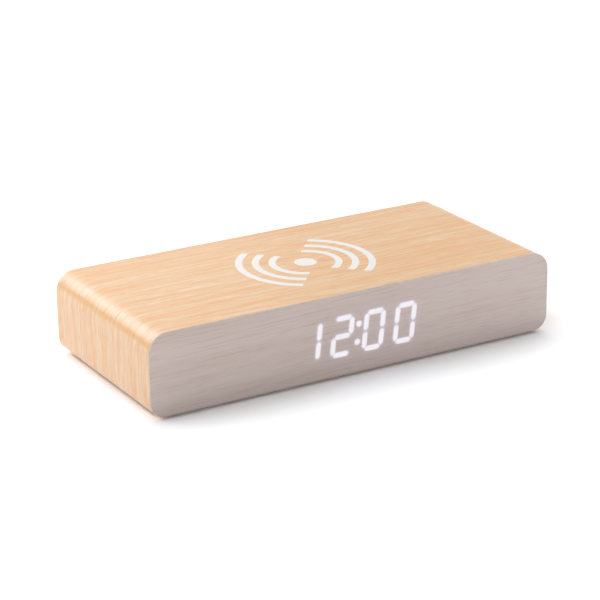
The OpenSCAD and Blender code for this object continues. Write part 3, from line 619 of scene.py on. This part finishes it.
# Front face
# One thin sheet with a matt greige wood print covers the whole front, glued to the panel
# and to the sleeve's edge. It hides the unlit bars, and light spreads in it round lit ones.
face_low, face_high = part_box("front_veneer")
face_edge, face_steps, round_steps = 0.18 * mm, 20, 4
face_hw, face_hh = (face_high.x - face_low.x) / 2, (face_high.z - face_low.z) / 2
face_mid_z = (face_high.z + face_low.z) / 2
glow_reach, glow_foot, glow_head = 27 * mm, 5 * mm, 24 * mm
glow_step, glow_fade = 0.25 * mm, 0.33 * mm
glow_x = np.linspace(-glow_reach, glow_reach, round(2 * glow_reach / glow_step) + 1)
glow_z = np.linspace(glow_foot, glow_head, round((glow_head - glow_foot) / glow_step) + 1)


def face_ring(inset, y):
    """The sheet's outline, drawn in by an inset, at a depth."""
    ring = []
    for quarter, (side, rise) in enumerate(((1, 1), (-1, 1), (-1, -1), (1, -1))):
        corner = sleeve_corner if rise > 0 else sleeve_base_corner
        for k in range(face_steps + 1):
            a = (quarter + k / face_steps) * math.pi / 2
            x = side * (face_hw - corner) + (corner - inset) * math.cos(a)
            z = rise * (face_hh - corner) + (corner - inset) * math.sin(a)
            ring.append((x, y, face_mid_z + z))
    return ring


made = bmesh.new()
rings = [face_ring(0, face_high.y), face_ring(0, face_y + face_edge)]
for k in range(1, round_steps + 1):
    a = k / round_steps * math.pi / 2
    rings.append(face_ring(face_edge * (1 - math.cos(a)), face_y + face_edge * (1 - math.sin(a))))
loops = bridged(made, rings)
made.faces.new(loops[0])
net = [[made.verts.new((x, face_y, z)) for x in glow_x] for z in glow_z]
for low, high in zip(net, net[1:]):
    for i in range(len(low) - 1):
        made.faces.new((low[i], low[i + 1], high[i + 1], high[i]))
open_edges = [e for e in made.edges if len(e.link_faces) == 1]
bmesh.ops.triangle_fill(made, use_beauty=True, edges=open_edges)
face_mesh = finished_mesh(made, "front_face")

spot = np.array([v.co for v in face_mesh.vertices])
upright = np.stack([spot[:, 0] - numeral_lean * (spot[:, 2] - display_z), spot[:, 2]], 1)
apart = np.full(len(spot), 1.0)
for (x, _, z), turn, _ in bar_places:
    half = (tall_bar if turn[1] else flat_bar) / 2 - bar_t / 2
    step = np.abs(upright - (x, z))
    run, side = (step[:, 1], step[:, 0]) if turn[1] else (step[:, 0], step[:, 1])
    apart = np.minimum(apart, np.hypot(np.maximum(run - half, 0), side) - bar_t / 2)
for (x, _, z), _, _ in dot_places:
    apart = np.minimum(apart, np.hypot(spot[:, 0] - x, spot[:, 2] - z) - dot_d / 2)
on_face = np.abs(spot[:, 1] - face_y) < 0.001 * mm
halo = np.exp(-np.maximum(apart, 0) / glow_fade) * on_face
layer = face_mesh.attributes.new("halo", "FLOAT", "POINT")
layer.data.foreach_set("value", halo.astype(np.float32))

pale_greige, deep_greige, calm_greige = ink(227, 211, 205), ink(222, 205, 198), ink(234, 218, 212)
streak_brown, line_brown, glow_violet = ink(195, 165, 151), ink(194, 176, 168), ink(150, 140, 190)
greige, wiring = new_finish("greige_veneer")
along = wiring.split(wiring.place())
across = along.also(2) - along * math.tan(math.radians(1.5))
sway = grain(wiring, along * 18, across * 40, 5.3) - 0.5
across = across + sway * (2.2 * mm)
bands = grain(wiring, along * 14, across * 190, 2.2, 1.0)
streaks = grain(wiring, along * 34, across * 1700, 7.7)
lines = grain(wiring, along * 130, across * 3000, 14.1, 1.0)
mottle = grain(wiring, along * 90, across * 300, 21.3)
calm = along.rise(0.0, 60 * mm)
colour = wiring.blend(bands.rise(0.3, 0.7), pale_greige, deep_greige)
colour = wiring.blend(mottle.rise(0.4, 0.75) * 0.3, colour, ink(228, 213, 207))
colour = wiring.blend(calm * 0.75, colour, calm_greige)
colour = wiring.blend(streaks.rise(0.54, 0.78) * (0.45 - calm * 0.16), colour, streak_brown)
colour = wiring.blend(lines.rise(0.5, 0.78) * 0.35, colour, line_brown)
bleed = wiring.node("ShaderNodeAttribute", {"attribute_name": "halo"}, {}, "Fac")
coat(greige, wiring, colour, 0.5 + lines * 0.12, lines * 0.5 + streaks * 0.5, 0.025 * mm, {
    "Emission Color": wiring.blend(bleed, (0, 0, 0, 1), glow_violet), "Emission Strength": 0.42,
})
face_mesh.materials.append(greige)
front_face = link_piece("front_face", face_mesh)
smoothed(front_face, degrees=50)
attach(front_face, "case")
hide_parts("front_veneer", "dark_segments")


# Charging mark
# A white dot between three pairs of arcs is screen printed on the middle of the top, to
# show where a telephone is laid to charge. The ink is matt, and a little thin in places.
white_print, wiring = new_finish("white_print")
spot = wiring.place()
screen = noise(wiring, spot, 2600.0, 1.0)
thin = noise(wiring, spot, 210.0, 3.0)
colour = wiring.blend(thin.rise(0.45, 0.75) * 0.5, ink(254, 251, 247), ink(251, 246, 239))
coat(white_print, wiring, colour, 0.3 + screen * 0.15, screen, 0.01 * mm, {"IOR": 1.55})


def softened(node, name, width, finish, body="case", steps=2, upright=False):
    """A copy of a CAD piece with its sharp edges broken, or only those that stand upright."""
    made = bmesh.new()
    made.from_mesh(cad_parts[node].data)
    bmesh.ops.remove_doubles(made, verts=made.verts, dist=1e-7)
    bmesh.ops.dissolve_limit(
        made, angle_limit=math.radians(0.5), verts=made.verts, edges=made.edges
    )
    sharp = [
        e for e in made.edges
        if len(e.link_faces) == 2 and e.calc_face_angle() > math.radians(35)
    ]
    if upright:
        sharp = [e for e in sharp if abs(e.verts[0].co.z - e.verts[1].co.z) > 0.05 * mm]
    bmesh.ops.bevel(
        made, geom=sharp, offset=width, segments=steps, profile=0.5, affect="EDGES",
        clamp_overlap=True,
    )
    mesh = bpy.data.meshes.new(name)
    made.to_mesh(mesh)
    made.free()
    mesh.materials.clear()
    mesh.materials.append(finish)
    piece = link_piece(name, mesh)
    smoothed(piece, degrees=40)
    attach(piece, body)
    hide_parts(node)
    return piece


mark = softened("charge_mark", "printed_mark", 0.6 * mm, white_print, steps=4, upright=True)


# Front panel and chassis
# A black moulded panel closes the front behind the sheet and keeps light in the display.
# The dark chassis carries all the works, and the coil tray stands on its posts.
def refinish(material, *nodes):
    """Gives CAD pieces that keep their shape a finish of their own."""
    for name in nodes:
        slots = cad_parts[name].data.materials
        slots.clear()
        slots.append(material)


def moulded(name, low, high, rough, grit=2400.0, lift=0.02 * mm, painted=None):
    """A moulded plastic: fine spark-eroded texture, with slow drifts of tone and gloss."""
    material, wiring = new_finish(name)
    spot = wiring.place()
    texture = noise(wiring, spot, grit, 2.0, 0.6)
    drift = noise(wiring, spot, 70.0, 3.0)
    colour = wiring.blend(drift.rise(0.3, 0.7) * 0.35 + texture * 0.65, low, high)
    if painted:
        colour = wiring.blend(painted(wiring.split(spot)) * 0.9, colour, ink(92, 84, 79))
    gloss = texture * 0.16 + drift * 0.08 + (rough - 0.12)
    return coat(material, wiring, colour, gloss, texture, lift)


black_plastic = moulded("black_plastic", ink(20, 20, 21), ink(30, 30, 32), 0.55)
refinish(black_plastic, "front_panel")
chassis_plastic = moulded("chassis_plastic", ink(58, 58, 61), ink(70, 70, 74), 0.55)
refinish(chassis_plastic, "chassis", "coil_tray")


# Rear cover
# The rear cover is moulded in fine-textured greige plastic and sits inside the sleeve's
# rim. It has the button recess, the sound holes, and a small sunk sign over each button,
# filled with dark paint.
cover_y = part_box("rear_cover")[1].y
sign_foot, sign_head, sign_reach = 21 * mm, 24.2 * mm, 14 * mm
paint_edge = 0.1 * mm


def in_signs(place):
    """1 on the floors of the sunk signs, which take paint, and 0 on the rest of the cover."""
    sunk = (cover_y - place.also(1)).rise(0.1 * mm, 0.15 * mm)
    level = place.also(2)
    above = level.rise(sign_foot, sign_foot + paint_edge)
    below = 1 - level.rise(sign_head, sign_head + paint_edge)
    return sunk * (above * below) * (1 - abs(place).rise(sign_reach, sign_reach + paint_edge))


cover_plastic = moulded(
    "cover_plastic", ink(190, 178, 171), ink(210, 198, 192), 0.55, 2600.0, 0.06 * mm, in_signs
)
rear_cover = softened("rear_cover", "rear_cover_moulding", 0.12 * mm, cover_plastic)


# Buttons
# Three round push buttons in darker plastic stand in the recess. Each has a collar inside
# that keeps it in, and works a small switch on the main board through its red plunger.
button_plastic = moulded(
    "button_plastic", ink(120, 112, 106), ink(133, 125, 119), 0.45, 3000.0, 0.015 * mm
)
plunger_plastic = moulded("plunger_plastic", ink(190, 66, 44), ink(204, 78, 54), 0.45)
for key in ("set", "up", "down"):
    button = softened(key + "_button", key + "_cap", 0.3 * mm, button_plastic, key + "_key", 3)
    refinish(plunger_plastic, key + "_plunger")
black_resin = moulded("black_resin", ink(26, 26, 28), ink(36, 36, 38), 0.5)
refinish(black_resin, "switch_bodies", "buzzer")


# Screws
# Zinc-plated cross-head screws hold the rear cover, the chassis, the main board and the
# coil tray. The plating is bright, with a fine grain and slight tarnish.
def plated(name, low, high, rough, along=(1.0, 1.0, 1.0)):
    """A bright metal with fine drawn lines, slight tarnish and its own grain direction."""
    material, wiring = new_finish(name)
    spot = wiring.node("ShaderNodeMapping", {}, {"Vector": wiring.place(), "Scale": along})
    drawn = noise(wiring, spot, 3000.0, 2.0)
    tarnish = noise(wiring, spot, 260.0, 4.0)
    colour = wiring.blend(tarnish.rise(0.35, 0.75), high, low)
    gloss = drawn * 0.14 + tarnish * 0.12 + (rough - 0.13)
    return coat(material, wiring, colour, gloss, drawn, 0.006 * mm, metal=1.0)


screw_steel = plated("screw_steel", ink(166, 166, 168), ink(196, 196, 198), 0.36)
rear_screws = softened("rear_screws", "rear_screw_heads", 0.12 * mm, screw_steel)
refinish(screw_steel, "base_screws", "tray_screws", "board_screws")


# Power socket
# A drawn steel shell with rounded ends stands behind the rear cover's opening, soldered to
# the main board. Its black tongue carries two rows of gold-plated contacts.
cell_steel = plated("cell_steel", ink(190, 190, 193), ink(214, 214, 217), 0.3, (0.1, 1.0, 1.0))
shell = softened("socket_shell", "socket_shell_drawn", 0.06 * mm, cell_steel)
tongue_plastic = moulded("tongue_plastic", ink(24, 24, 26), ink(33, 33, 35), 0.5)
softened("socket_tongue", "socket_tongue_moulding", 0.1 * mm, tongue_plastic)
tongue_low, tongue_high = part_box("socket_tongue")
contact_w, contact_l, contact_t = 0.28 * mm, 3.6 * mm, 0.03 * mm
contact_count, contact_pitch, contact_setback = 12, 0.5 * mm, 0.35 * mm
contact_round, contact_sunk, contact_broken = 0.05 * mm, 0.02 * mm, 0.03 * mm
half_w, half_l = contact_w / 2 - contact_round, contact_l / 2 - contact_round
contact_corners = [(half_w, half_l), (-half_w, half_l), (-half_w, -half_l), (half_w, -half_l)]
contact = slab("contact", [
    [(x, y, z) for x, y in rounded_outline(contact_corners, radius, steps=2)]
    for radius, z in (
        (contact_round, -contact_sunk), (contact_round, contact_t * 0.7), (contact_broken, contact_t),
    )
])
contact_y = tongue_high.y - contact_l / 2 - contact_setback
contact_places = []
for k in range(contact_count):
    x = (tongue_low.x + tongue_high.x) / 2 + (k - (contact_count - 1) / 2) * contact_pitch
    contact_places += [
        ((x, contact_y, tongue_high.z), (0, 0, 0), (1, 1, 1)),
        ((x, contact_y, tongue_low.z), (0, math.pi, 0), (1, 1, 1)),
    ]
gold = plated("contact_gold", ink(214, 170, 90), ink(236, 196, 118), 0.28, (1.0, 0.1, 1.0))
contacts = set_out("socket_contacts", contact, contact_places, gold)
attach(contacts, "case")


# Feet
# Four soft black rubber pads are stuck in shallow pockets under the sleeve, over the
# screws that hold the chassis.
foot_rubber = moulded("foot_rubber", ink(34, 34, 35), ink(48, 48, 49), 0.8, 1500.0, 0.05 * mm)
feet = softened("rubber_feet", "rubber_pads", 0.2 * mm, foot_rubber, steps=3)


# Display block
# Behind the panel a white reflector block gathers the light of one small lamp per bar.
# The lamps and the driver chip are soldered to a green board, and a ribbon leaves it.
white_plastic = moulded("white_plastic", ink(228, 228, 224), ink(238, 238, 235), 0.4)
refinish(white_plastic, "display_housing", "cell_holder")
led_resin = moulded(
    "led_resin", ink(238, 214, 132), ink(248, 230, 160), 0.22, 900.0, 0.005 * mm
)
refinish(led_resin, "segment_leds")

circuit_board, wiring = new_finish("circuit_board")
spot = wiring.place()
tracks = wiring.node("ShaderNodeTexVoronoi", {"feature": "DISTANCE_TO_EDGE"}, {
    "Vector": spot, "Scale": 260.0,
})
dots = wiring.node("ShaderNodeTexVoronoi", {"distance": "CHEBYCHEV"}, {
    "Vector": spot, "Scale": 420.0,
})
mask = noise(wiring, spot, 1800.0, 2.0)
copper_shows = 1 - tracks.rise(0.03, 0.05)
solder = 1 - dots.rise(0.16, 0.2)
colour = wiring.blend(mask, ink(14, 92, 50), ink(22, 106, 60))
colour = wiring.blend(copper_shows * 0.5, colour, ink(60, 150, 84))
colour = wiring.blend(solder * 0.8, colour, ink(196, 196, 190))
coat(circuit_board, wiring, colour, 0.35 + mask * 0.15, copper_shows * 0.5 + solder, 0.03 * mm)
refinish(circuit_board, "display_board", "main_board")

ribbon_film, wiring = new_finish("ribbon_film")
spot = wiring.place()
cores = wiring.node("ShaderNodeTexWave", {"wave_profile": "SIN"}, {
    "Vector": spot, "Scale": 300.0, "Distortion": 0.2,
})
wear = noise(wiring, spot, 500.0, 3.0)
colour = wiring.blend(cores, ink(206, 206, 198), ink(236, 236, 230))
coat(ribbon_film, wiring, colour, 0.4 + wear * 0.15, cores, 0.1 * mm)
refinish(ribbon_film, "display_ribbon")


# Charging works
# A flat coil of enamelled copper lies on a grey ferrite plate just under the roof. Its two
# leads drop to the main board, which carries the chips, capacitors and inductor that drive it.
copper, wiring = new_finish("copper")
spot = wiring.place()
strands = wiring.node("ShaderNodeTexWave", {"wave_type": "RINGS", "rings_direction": "Z"}, {
    "Vector": spot, "Scale": 900.0, "Distortion": 1.0, "Detail": 2.0,
})
enamel = noise(wiring, spot, 300.0, 3.0)
colour = wiring.blend(strands, ink(176, 96, 52), ink(214, 134, 82))
colour = wiring.blend(enamel.rise(0.45, 0.7) * 0.4, colour, ink(150, 76, 42))
coat(copper, wiring, colour, 0.28 + enamel * 0.15, strands, 0.05 * mm, metal=0.9)
refinish(copper, "charging_coil", "coil_leads")

ferrite, wiring = new_finish("ferrite")
spot = wiring.place()
crystals = wiring.node("ShaderNodeTexVoronoi", {}, {"Vector": spot, "Scale": 2200.0}, "Distance")
cloud = noise(wiring, spot, 220.0, 4.0)
speckle = crystals.rise(0.1, 0.7) * 0.6 + cloud * 0.4
colour = wiring.blend(speckle, ink(44, 42, 41), ink(74, 71, 69))
coat(ferrite, wiring, colour, 0.6 + cloud * 0.2, crystals, 0.03 * mm)
refinish(ferrite, "ferrite_shield", "power_inductor")
chip_resin = moulded("chip_resin", ink(30, 30, 32), ink(40, 40, 42), 0.55, 1800.0, 0.015 * mm)
refinish(chip_resin, "board_chips", "display_driver")
capacitor_body = moulded("capacitor_body", ink(184, 146, 90), ink(198, 160, 104), 0.5, 1400.0)
refinish(capacitor_body, "coil_capacitors")
refinish(cell_steel, "backup_cell", "cell_clip")
